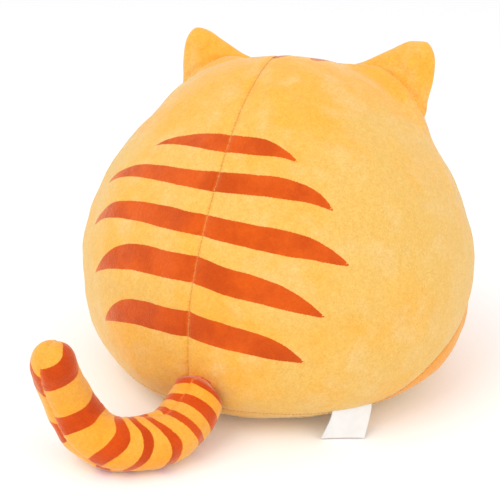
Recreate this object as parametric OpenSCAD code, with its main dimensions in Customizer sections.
// Plush cat cushion: a round stuffed body that sits on its flat base, two
// stuffed ears, a curled stuffed tail that lies on the floor, and a sewn label.
// +X is the cat's left, -Y is the way it faces and +Z is up. The origin is the
// middle of the flat base. Every length is in millimetres.

/* [Body] */
// Width of the body
body_width = 320; // [240:1:400]
// Depth of the body, from face to back
body_depth = 300; // [220:1:380]
// Height of the body, from the floor to the crown
body_height = 259; // [205:1:320]
// Height of the widest level above the floor
widest_height = 103.5; // [85:0.5:125]
// How far the round form would reach below the floor if the base were not flat
base_flattening = 6; // [3:0.5:12]
// Fullness of the lower half: 2 is round, a higher number is squarer
lower_fullness = 3.45; // [2.4:0.1:5]
// Fullness of the dome: 2 is round, a lower number is more pointed
upper_fullness = 1.6; // [1.4:0.05:2.2]
// How far the middle of the body bows towards the face
forward_bow = 11.5; // [0:0.5:20]

/* [Fabric] */
// Thickness of the plush fabric, with its pile
fabric_thickness = 1.5; // [0.8:0.1:3]
// Air between a filling and its fabric
filling_gap = 3.4; // [2.5:0.1:5]
// Thickness of the sewing thread
thread_thickness = 0.8; // [0.4:0.1:1.2]
// Room between two panels for the thread that joins them
seam_gap = 1.2; // [1:0.1:2]
// Angle of the base seam, seen from the middle of the body
base_seam_angle = -32; // [-34:1:-29]
// Angle of the seam over the head at the middle, from the face side
crown_seam_angle = 67; // [64:1:74]

/* [Ears] */
// Width of an ear at its base
ear_width = 66; // [44:1:80]
// Height of an ear, from its hinge line to its tip
ear_height = 37; // [28:1:60]
// Thickness of an ear at its base
ear_thickness = 19; // [14:1:24]
// Thickness of an ear's fabric
ear_fabric = 1.2; // [0.8:0.1:2]
// Bearing of an ear around the body, from the middle of the back
ear_bearing = 124; // [112:1:134]
// Angle of an ear above the widest level
ear_elevation = 54; // [46:1:60]
// How far the head swells under an ear
ear_mound = 10; // [0:0.5:16]
// Tilt of an ear's base line, down towards the side
ear_splay = 24; // [12:1:34]
// Lean of an ear towards the face
ear_lean = 15; // [0:1:25]
// Shift of the ear's tip towards its outer side
ear_tip_shift = 7; // [0:0.5:12]
// Air between an ear's filling and its fabric
ear_gap = 0.2; // [0.1:0.1:1]
// Room between the head and the round foot of an ear
ear_clearance = 1.2; // [0.8:0.1:3]

/* [Tail] */
// Thickness of the tail at its root
tail_root_thickness = 37.5; // [28:0.5:44]
// Thickness of the tail in its middle
tail_middle_thickness = 38.5; // [28:0.5:44]
// Thickness of the tail near its tip
tail_tip_thickness = 32; // [24:0.5:40]
// Height of the middle of the tail's root above the floor
tail_root_height = 38; // [34:0.5:50]
// Side step of the tail's root, towards the cat's left
tail_root_side = -3; // [-10:0.5:10]
// Thickness of the tail's fabric
tail_fabric = 1.2; // [0.8:0.1:2]
// Air between the tail's filling and its fabric
tail_gap = 0.2; // [0.1:0.1:1]
// Room between the sections of the tail at their bending points
tail_clearance = 0.5; // [0.4:0.1:1.5]
// Half of the angle that the tail swings through at its root
tail_swing = 20; // [10:1:25]
// Half of the angle that the tail bends through at each bend
tail_bend = 20; // [10:1:25]

/* [Label] */
// Width of the label
label_width = 32; // [20:1:45]
// Height of the label's lower edge above the floor
label_lift = 0.6; // [0.4:0.1:4]
// Thickness of the label's ribbon
label_ribbon = 0.5; // [0.3:0.1:1]
// Bearing of the label around the body, from the middle of the back
label_bearing = -50; // [-54:1:-30]

/* [Face] */
// Width of an eye
eye_width = 26; // [14:1:36]
// Height of an eye
eye_height = 30; // [14:1:40]
// Bearing of an eye from the middle of the face
eye_bearing = 21; // [14:1:30]
// Angle of the eyes above the widest level
eye_elevation = 13; // [6:1:24]
// Width of the nose
nose_width = 22; // [12:1:32]
// Height of the nose
nose_height = 14; // [8:1:22]
// Angle of the nose above the widest level
nose_elevation = 5; // [0:1:10]
// Thickness of an embroidered patch
patch_thickness = 1; // [0.6:0.1:2]
// Thickness of an embroidered line
stitch_thickness = 1.8; // [1:0.1:3]

/* [Hidden] */

back_colour = [0.98, 0.76, 0.36];
face_colour = [0.96, 0.68, 0.24];
stripe_colour = [0.92, 0.39, 0.12];
filling_colour = [0.95, 0.95, 0.93];
dark_colour = [0.2, 0.13, 0.1];

// Degrees between the points of a body panel, across and up, and a small step
// that keeps a panel's last row off the very top of the body
bearing_step = 6;
height_step = 6;
top_margin = 0.4;
// Reach of the swelling under an ear, in degrees
mound_reach = 21;
// The gap between two panels as an angle at the body's surface
half_gap_angle = atan(seam_gap / 2 / (body_width / 2));

// --- Vectors and grids ------------------------------------------------------

function direction(bearing, elevation) = [
  cos(elevation) * sin(bearing),
  cos(elevation) * cos(bearing),
  sin(elevation)
];
function unit(v) = v / norm(v);
function mirrored(points) = [for (p = points) [-p[0], p[1], p[2]]];
function range(first, last, count) =
  [for (i = [0:count]) first + (last - first) * i / count];

// Two triangles on each cell of a grid whose first point has number `start`
function grid_faces(rows, columns, start, flip) = [
  for (i = [0:rows - 2], j = [0:columns - 2])
    let (a = start + i * columns + j, b = a + 1, c = b + columns, d = a + columns)
      each flip ? [[a, c, b], [a, d, c]] : [[a, b, c], [a, c, d]]
];

// Numbers of the points around the edge of a grid, in order
function grid_rim(rows, columns) = concat(
  [for (j = [0:columns - 2]) j],
  [for (i = [0:rows - 2]) i * columns + columns - 1],
  [for (j = [columns - 1:-1:1]) (rows - 1) * columns + j],
  [for (i = [rows - 1:-1:1]) i * columns]
);

// A sheet of fabric between an outer and an inner grid of points
module shell(outer, inner, flip = false) {
  rows = len(outer);
  columns = len(outer[0]);
  count = rows * columns;
  rim = grid_rim(rows, columns);
  rim_faces = [
    for (k = [0:len(rim) - 1])
      let (p = rim[k], q = rim[(k + 1) % len(rim)])
        each flip
          ? [[p, q, q + count], [p, q + count, p + count]]
          : [[p, q + count, q], [p, p + count, q + count]]
  ];
  polyhedron(
    points = [for (row = concat(outer, inner)) each row],
    faces = concat(
      grid_faces(rows, columns, 0, flip),
      grid_faces(rows, columns, count, !flip),
      rim_faces
    ),
    convexity = 6
  );
}

// A closed solid through a list of rings, with a fan on each end
module loft(rings, flip = false) {
  last = len(rings) - 1;
  sides = len(rings[0]);
  first_end = last * sides;
  centres = [for (k = [0, last]) ring_centre(rings[k])];
  start_centre = (last + 1) * sides;
  wall = [
    for (i = [0:last - 1], j = [0:sides - 1])
      let (
        a = i * sides + j,
        b = i * sides + (j + 1) % sides,
        c = b + sides,
        d = a + sides
      )
        each flip ? [[a, c, b], [a, d, c]] : [[a, b, c], [a, c, d]]
  ];
  ends = [
    for (j = [0:sides - 1])
      let (next = (j + 1) % sides)
        each flip
          ? [[j, next, start_centre], [first_end + next, first_end + j, start_centre + 1]]
          : [[next, j, start_centre], [first_end + j, first_end + next, start_centre + 1]]
  ];
  polyhedron(
    points = concat([for (ring = rings) each ring], centres),
    faces = concat(wall, ends),
    convexity = 6
  );
}

function ring_sum(ring, k = 0) =
  k == len(ring) ? [0, 0, 0] : ring[k] + ring_sum(ring, k + 1);
function ring_centre(ring) = ring_sum(ring) / len(ring);

// A closed or open tube of thread whose middle follows a path
module tube(path, outward, thickness, closed = false) {
  last = len(path) - 1;
  sides = 6;
  rings = [
    for (k = [0:last])
      let (
        before = path[closed ? (k + last) % (last + 1) : max(k - 1, 0)],
        after = path[closed ? (k + 1) % (last + 1) : min(k + 1, last)],
        along = unit(after - before),
        across = unit(cross(along, outward[k])),
        up = cross(across, along)
      )
        [
          for (j = [0:sides - 1])
            path[k] + thickness / 2 * (cos(60 * j) * across + sin(60 * j) * up)
        ]
  ];
  if (closed)
    closed_tube(rings);
  else
    loft(rings);
}

module closed_tube(rings) {
  count = len(rings);
  sides = len(rings[0]);
  polyhedron(
    points = [for (ring = rings) each ring],
    faces = [
      for (i = [0:count - 1], j = [0:sides - 1])
        let (
          a = i * sides + j,
          b = i * sides + (j + 1) % sides,
          c = (i + 1) % count * sides + (j + 1) % sides,
          d = (i + 1) % count * sides + j
        )
          each [[a, b, c], [a, c, d]]
    ],
    convexity = 6
  );
}

// --- The body's surface -----------------------------------------------------

// Bow of the body's middle towards the face at a height
function bow(z) = -4 * forward_bow * z / body_height * (1 - z / body_height);

// Swelling of the head under an ear, as a share of the distance from the middle
function mound(d, side) =
  let (
    centre = direction(side * ear_bearing, ear_elevation),
    apart = acos(min(1, d * centre))
  )
    ear_mound / (body_width / 2) * exp(-pow(apart / mound_reach, 2));

// Distance from the body's middle to its round form, in a direction
function reach(d) =
  let (
    upper = d[2] > 0,
    fullness = upper ? upper_fullness : lower_fullness,
    height = upper ? body_height - widest_height : widest_height + base_flattening,
    level = norm([d[0] / (body_width / 2), d[1] / (body_depth / 2)]),
    round = pow(pow(level, fullness) + pow(abs(d[2]) / height, fullness), -1 / fullness)
  )
    round * (1 + mound(d, 1) + mound(d, -1));

// Point of the body's surface, moved inwards by a depth
function body_point(bearing, elevation, depth = 0) =
  let (
    d = direction(bearing, elevation),
    p = (reach(d) - depth) * d,
    z = max(p[2] + widest_height, depth)
  )
    [p[0], p[1] + bow(z), z];

// Direction that points out of the body's surface
function outward(bearing, elevation) =
  let (
    p = body_point(bearing, elevation),
    q = body_point(bearing + 1, elevation),
    r = body_point(bearing, elevation + 1)
  )
    unit(cross(r - p, q - p));

// The side seam runs from the base seam, up the side, through the ear and over
// the head. Each pair is an angle above the widest level and a bearing.
SIDE_SEAM = [
  [base_seam_angle, 57], [-28, 66], [-24, 72], [-20, 78], [-17, 86], [-10, 103], [-1, 113],
  [10, 118], [30, 117], [ear_elevation - 10, ear_bearing - 9],
  [ear_elevation, ear_bearing], [ear_elevation + 7, ear_bearing + 18],
  [crown_seam_angle, 180]
];
function seam_bearing(elevation) = lookup(elevation, SIDE_SEAM);

// Angles from one level to another, for the rows of a panel
function panel_rows(first, last) =
  range(first, last, ceil((last - first) / height_step));

// Levels at which the side seam is followed by the panels and the thread
SEAM_LEVELS =
  panel_rows(base_seam_angle + half_gap_angle, crown_seam_angle - 3 * half_gap_angle);

// Half of the seam's gap as a bearing, wider where the seam runs more level
function seam_step(elevation) =
  let (
    here = seam_bearing(elevation),
    slope = max(abs(seam_bearing(elevation + 1) - here), abs(here - seam_bearing(elevation - 1)))
  )
    half_gap_angle * norm([1 / cos(elevation), slope]);

// Cells across a back panel and across the face panel, from the widest
// bearing that each one covers
back_span = 120;
face_span = 240;
back_columns = ceil(back_span / bearing_step);
face_columns = ceil(face_span / bearing_step);

function seam_point(elevation) = [seam_bearing(elevation), elevation];

function back_row(elevation, edge, depth) = [
  for (bearing = range(0, edge, back_columns))
    body_point(bearing, elevation, depth) + [seam_gap / 2, 0, 0]
];
function back_grid(depth) = concat(
  [for (e = SEAM_LEVELS) back_row(e, seam_bearing(e) - seam_step(e), depth)],
  [for (e = panel_rows(crown_seam_angle, 90 - top_margin)) back_row(e, 180, depth)]
);

function face_grid(depth) = [
  for (elevation = SEAM_LEVELS)
    let (edge = seam_bearing(elevation) + seam_step(elevation))
      [
        for (bearing = range(edge, 360 - edge, face_columns))
          body_point(bearing, elevation, depth)
      ]
];

module back_panel(side) {
  color(back_colour)
    shell(
      [for (row = back_grid(0)) side > 0 ? row : mirrored(row)],
      [for (row = back_grid(fabric_thickness)) side > 0 ? row : mirrored(row)],
      flip = side < 0
    );
}

module back_panel_left() { back_panel(1); }
module back_panel_right() { back_panel(-1); }

module face_panel() {
  color(face_colour)
    shell(face_grid(0), face_grid(fabric_thickness));
}

// The base panel is a shallow bowl with a flat bottom
BASE_ROWS = [-89, -60, -48, -45, -42, -39, -36];
module base_panel() {
  edge = base_seam_angle - half_gap_angle;
  rows = concat([for (e = BASE_ROWS) if (e < edge - 2) e], [edge]);
  rings = concat(
    [for (e = rows) body_ring(e, 0)],
    [for (k = [len(rows) - 1:-1:0]) body_ring(rows[k], fabric_thickness)]
  );
  color(back_colour)
    loft(rings);
}

// Bearings of the points around a ring of the body
RING_BEARINGS = range(0, 360 - bearing_step, 360 / bearing_step - 1);
function body_ring(elevation, depth) =
  [for (bearing = RING_BEARINGS) body_point(bearing, elevation, depth)];

module body_filling() {
  depth = fabric_thickness + filling_gap;
  rows = concat(BASE_ROWS, panel_rows(base_seam_angle, 90 - top_margin));
  color(filling_colour)
    loft([for (e = rows) body_ring(e, depth)]);
}

// --- Sewing threads ---------------------------------------------------------

module seam_thread(places, closed = false) {
  color(stripe_colour)
    tube(
      [for (s = places) body_point(s[0], s[1], thread_thickness / 2)],
      [for (s = places) outward(s[0], s[1])],
      thread_thickness,
      closed
    );
}

module back_seam_thread() {
  seam_thread([for (e = range(base_seam_angle + 2, 84, 24)) [0, e]]);
}

module face_seam_thread() {
  last = len(SEAM_LEVELS) - 1;
  left = [
    for (k = [0:last])
      let (start = k == 0 ? 3 * half_gap_angle / height_step : 0)
        (1 - start) * seam_point(SEAM_LEVELS[k]) + start * seam_point(SEAM_LEVELS[1])
  ];
  right = [for (k = [last:-1:0]) [360 - left[k][0], left[k][1]]];
  seam_thread(concat(left, [[180, crown_seam_angle - 1.5 * half_gap_angle]], right));
}

module base_seam_thread() {
  seam_thread([for (b = RING_BEARINGS) [b, base_seam_angle]], closed = true);
}

// --- The embroidered face ---------------------------------------------------

// Gap that keeps embroidery just off the fabric it is sewn on
stitch_gap = 0.1;

// Angles around a patch's outline
RING_ANGLES = range(0, 345, 23);

// A satin-stitched patch whose outline is given in millimetres about a place
module patch(place, outline, colour = dark_colour) {
  d = reach(direction(place[0], place[1]));
  degrees = 180 / PI / d;
  shares = [0.06, 0.5, 0.85, 1];
  rises = [1, 1, 0.85, 0.5];
  under = [for (s = shares) patch_ring(place, outline, s * degrees, stitch_gap)];
  over = [
    for (k = [3:-1:0])
      patch_ring(place, outline, shares[k] * degrees, stitch_gap + patch_thickness * rises[k])
  ];
  color(colour)
    loft(concat(under, over));
}

function patch_ring(place, outline, scale, height) = [
  for (q = outline)
    body_point(place[0] + q[0] * scale / cos(place[1]), place[1] + q[1] * scale, -height)
];

module eye(side) {
  middle = [180 - side * eye_bearing, eye_elevation];
  patch(middle, [
    for (a = RING_ANGLES)
      [eye_width / 2 * cos(a), eye_height / 2 * sin(a)]
  ]);
}
module eye_left() { eye(1); }
module eye_right() { eye(-1); }

module nose() {
  patch([180, nose_elevation], [
    for (a = RING_ANGLES)
      [
        nose_width / 2 * cos(a) * (1 + 0.25 * sin(a)),
        nose_height / 2 * sin(a)
      ]
  ]);
}

// A stitched line on the face through places given as [bearing, elevation]
module stitched_line(places) {
  color(dark_colour)
    tube(
      [for (s = places) body_point(s[0], s[1], -stitch_gap - stitch_thickness / 2)],
      [for (s = places) outward(s[0], s[1])],
      stitch_thickness
    );
}

// The mouth, in degrees: half its width, its depth, and how far it is below the nose
mouth_reach = 6;
mouth_drop = 4;
mouth_below = 4;
module mouth() {
  top = nose_elevation - mouth_below;
  stitched_line([
    for (t = range(-1, 1, 20))
      [180 + mouth_reach * t, top - mouth_drop * abs(sin(180 * t))]
  ]);
}

// The whiskers, in degrees: where they start, their length and spacing, and how
// much they fan out
whisker_bearing = 32;
whisker_elevation = 4;
whisker_length = 9;
whisker_step = 4;
whisker_fan = 0.4;
module whiskers(side) {
  for (k = [-1:1])
    stitched_line([
      for (t = range(0, 1, 6))
        [
          180 - side * (whisker_bearing + whisker_length * t),
          whisker_elevation + whisker_step * k * (1 + whisker_fan * t)
        ]
    ]);
}
module whiskers_left() { whiskers(1); }
module whiskers_right() { whiskers(-1); }

// --- Ears -------------------------------------------------------------------

ear_radius = ear_thickness / 2;
ear_foot = body_point(ear_bearing, ear_elevation);
ear_rise = ear_radius + ear_clearance;

// A point of the left ear, from its own frame: x across, y to the back, z up
function ear_place(p) =
  let (
    x = p[0] * cos(ear_splay) + p[2] * sin(ear_splay),
    z = p[2] * cos(ear_splay) - p[0] * sin(ear_splay)
  )
    [
      x,
      p[1] * cos(ear_lean) - z * sin(ear_lean),
      p[1] * sin(ear_lean) + z * cos(ear_lean)
    ];
ear_up = ear_place([0, 0, 1]);
ear_hinge = ear_foot + ear_rise * outward(ear_bearing, ear_elevation);

// Height and half thickness of the ear at a share of its half width. An outline
// of 1 has straight edges, and a larger one bulges.
ear_outline = 1.3;
function ear_top(w) = ear_height * pow(1 - pow(abs(w), ear_outline), 0.9);
function ear_half(w) = ear_radius * pow(1 - w * w, 0.5);

// Section of the ear at a share w of its half width, inside by a depth. The
// foot is round about the hinge line, so the ear can fold without touching.
function ear_section(w, first, last, count, depth) = [
  for (a = range(first, last, count))
    let (
      half = ear_half(w) - depth,
      top = ear_top(w) - depth,
      z = (sin(a) > 0 ? top : half) * sin(a)
    )
      ear_hinge + ear_place([
        w * ear_width / 2 + ear_tip_shift * max(0, z) / ear_height,
        half * cos(a),
        z
      ])
];

EAR_SHARES = [for (a = range(-72, 72, 12)) sin(a)];
function ear_grid(first, last, depth) =
  [for (w = EAR_SHARES) ear_section(w, first, last, 12, depth)];

module ear_panel(side, first, colour) {
  outer = ear_grid(first + edge_angle, first + 180 - edge_angle, 0);
  inner = ear_grid(first + edge_angle, first + 180 - edge_angle, ear_fabric);
  color(colour)
    shell(
      [for (row = outer) side > 0 ? row : mirrored(row)],
      [for (row = inner) side > 0 ? row : mirrored(row)],
      flip = side > 0
    );
}

module ear_filling(side) {
  rings = [
    for (w = EAR_SHARES)
      ear_section(0.97 * w, 0, 345, 23, ear_fabric + ear_gap)
  ];
  color(filling_colour)
    loft([for (ring = rings) side > 0 ? ring : mirrored(ring)], flip = side > 0);
}

module ear_left_back_panel() { ear_panel(1, -90, back_colour); }
module ear_left_front_panel() { ear_panel(1, 90, face_colour); }
module ear_left_filling() { ear_filling(1); }
module ear_right_back_panel() { ear_panel(-1, -90, back_colour); }
module ear_right_front_panel() { ear_panel(-1, 90, face_colour); }
module ear_right_filling() { ear_filling(-1); }

// --- Tail -------------------------------------------------------------------

// The middle line of the tail from inside the body to its tip. Each place is
// a step from the root to the side and to the back, and a height above the
// level where the tail lies on the floor.
tail_root_elevation = -24;
tail_anchor = [
  tail_root_side,
  body_point(0, tail_root_elevation)[1] + tail_clearance,
  tail_root_height
];
tail_floor = tail_middle_thickness / 2;
TAIL_STEPS = [
  [0, -12, 34], [0, 0, tail_root_height - tail_floor], [0.5, 16, 6], [5.5, 38, 0.6],
  [23.5, 56.5, 0.6], [43.5, 61, 2], [60, 60, 12], [68, 64, 33], [69, 73.5, 59], [67.5, 76.5, 82]
];
TAIL_ROUTE = [for (s = TAIL_STEPS) [
    tail_anchor[0] + s[0], tail_anchor[1] + s[1], tail_floor + s[2]
]];
// The places on the route where the tail bends, and where it ends
root_place = 1;
bend_place = 3.5;
curl_place = 6;
tip_place = 8;
// The middle of the curl, which the tail's inner seam faces
curl_middle = tail_anchor + [28, 28, 22];

function curve(a, b, c, d, t) = 0.5 * (
  2 * b + (c - a) * t + (2 * a - 5 * b + 4 * c - d) * t * t
  + (3 * b - a - 3 * c + d) * t * t * t
);
function route(u) =
  let (k = max(1, min(floor(u), len(TAIL_ROUTE) - 3)))
    curve(TAIL_ROUTE[k - 1], TAIL_ROUTE[k], TAIL_ROUTE[k + 1], TAIL_ROUTE[k + 2], u - k);
function heading(u) = unit(route(u + 0.01) - route(u - 0.01));
function tail_radius(u) = lookup(u, [
  [root_place, tail_root_thickness / 2], [bend_place, tail_middle_thickness / 2],
  [curl_place, tail_middle_thickness / 2], [tip_place, tail_tip_thickness / 2]
]);

// Angle of the inner seam about the tail, from the inside of the curl
function tail_seam_turn(u) = lookup(u, [
  [bend_place - 0.5, -36], [curl_place - 1, 32], [curl_place + 1, 43], [tip_place, 45]
]);

// Directions square to the tail: towards the inside of the curl, and the third
function inward(u) =
  let (t = heading(u), v = curl_middle - route(u))
    unit(v - (v * t) * t);

// A direction turned about an upright or level hinge
function turned(v, hinge, angle) =
  v * cos(angle) + cross(hinge, v) * sin(angle) + (hinge * v) * (1 - cos(angle)) * hinge;

// Hinge directions of the tail's joints
upright = [0, 0, 1];
level = [0, 1, 0];

// Each end of a section is a place and the planes that it keeps clear of as the
// joint there turns: the directions that point into the section.
function bend_planes(u, hinge, sign) =
  [for (a = [-1, 1] * (tail_bend / 2 + 1)) turned(sign * heading(u), hinge, a)];
root_planes = [
  for (a = [-1, 0, 1] * (tail_swing + 1))
    turned(outward(0, tail_root_elevation), upright, a)
];
SECTION_STARTS = [
  [root_place, root_planes],
  [bend_place, bend_planes(bend_place, upright, 1)],
  [curl_place, bend_planes(curl_place, level, 1)]
];
SECTION_ENDS = [
  [bend_place, bend_planes(bend_place, upright, -1)],
  [curl_place, bend_planes(curl_place, level, -1)],
  [tip_place, []]
];
// Least distance along the tail between two rings near a slanted end
ring_room = 1.2;
rings_per_place = 3;

// A point moved along the tail until it is clear of an end's planes. Only the
// end's own ring may also move back, to lie on the planes.
function clear_of(p, along, end, number) =
  let (
    room = tail_clearance + number * ring_room,
    steps = [for (n = end[1]) (room - (p - route(end[0])) * n) / (along * n)],
    move = len(steps) == 0 ? 0 : max(steps)
  )
    p + (number == 0 ? move : max(0, move)) * along;

function tail_ring(u, angles, depth) =
  let (t = heading(u), in = inward(u), side = cross(t, in), turn = tail_seam_turn(u))
    [
      for (a = angles)
        route(u) + (tail_radius(u) - depth) * (cos(a + turn) * in + sin(a + turn) * side)
    ];

function section_rings(section, angles, depth) =
  let (
    start = SECTION_STARTS[section],
    end = SECTION_ENDS[section],
    count = ceil((end[0] - start[0]) * rings_per_place),
    places = range(start[0], end[0], count)
  )
    concat(
      [
        for (k = [0:count])
          [
            for (p = tail_ring(places[k], angles, depth))
              clear_of(
                clear_of(p, heading(places[k]), start, k),
                -heading(places[k]), end, count - k
              )
          ]
      ],
      section == 2 ? dome_rings(angles, depth) : []
    );

// The round end of the tail: rings that shrink on a dome
DOME_ANGLES = [15, 30, 45, 60, 75, 87];
function dome_rings(angles, depth) = [
  for (a = DOME_ANGLES)
    [
      for (p = tail_ring(tip_place, angles, depth))
        route(tip_place) + (p - route(tip_place)) * cos(a)
          + (tail_radius(tip_place) - depth) * sin(a) * heading(tip_place)
    ]
];

// Angles across one panel, and around a filling. The small angle at each edge
// of a panel leaves room for the seam.
edge_angle = 2;
panel_cells = 10;
filling_cells = 20;
function panel_angles(first) =
  range(first + edge_angle, first + 180 - edge_angle, panel_cells);
AROUND = range(0, 360 - 360 / filling_cells, filling_cells - 1);

module tail_panel(section, first, colour) {
  angles = panel_angles(first);
  color(colour)
    shell(
      section_rings(section, angles, 0),
      section_rings(section, angles, tail_fabric),
      flip = true
    );
}
module tail_filling(section) {
  color(filling_colour)
    loft(section_rings(section, AROUND, tail_fabric + tail_gap), flip = true);
}

module tail_root_inner_panel() { tail_panel(0, 0, back_colour); }
module tail_root_outer_panel() { tail_panel(0, 180, stripe_colour); }
module tail_root_filling() { tail_filling(0); }
module tail_middle_inner_panel() { tail_panel(1, 0, back_colour); }
module tail_middle_outer_panel() { tail_panel(1, 180, stripe_colour); }
module tail_middle_filling() { tail_filling(1); }
module tail_tip_inner_panel() { tail_panel(2, 0, back_colour); }
module tail_tip_outer_panel() { tail_panel(2, 180, stripe_colour); }
module tail_tip_filling() { tail_filling(2); }

// --- Label ------------------------------------------------------------------

// The label is one ribbon folded double. It hangs from the base seam, just off
// the fabric, to the floor.
label_layers = 3 * label_ribbon;
label_room = 1.4;
label_seam = body_point(label_bearing, base_seam_angle);
label_normal = outward(label_bearing, base_seam_angle);
label_facing = atan2(label_normal[0], label_normal[1]);
label_hinge = label_seam + (label_layers / 2 + label_room) * direction(label_facing, 0);
module label() {
  drop = label_hinge[2] - label_lift;
  color("white")
    translate(label_hinge)
    rotate([0, 0, -label_facing])
    rotate([90, 0, 90])
    linear_extrude(height = label_width, center = true)
    difference() {
      translate([-label_layers / 2, -drop])
        square([label_layers, drop]);
      translate([-label_ribbon / 2, label_ribbon - drop])
        square([label_ribbon, drop]);
    }
}

back_panel_left();
back_panel_right();
face_panel();
base_panel();
body_filling();
back_seam_thread();
face_seam_thread();
base_seam_thread();
eye_left();
eye_right();
nose();
mouth();
whiskers_left();
whiskers_right();
ear_left_back_panel();
ear_left_front_panel();
ear_left_filling();
ear_right_back_panel();
ear_right_front_panel();
ear_right_filling();
tail_root_inner_panel();
tail_root_outer_panel();
tail_root_filling();
tail_middle_inner_panel();
tail_middle_outer_panel();
tail_middle_filling();
tail_tip_inner_panel();
tail_tip_outer_panel();
tail_tip_filling();
label();
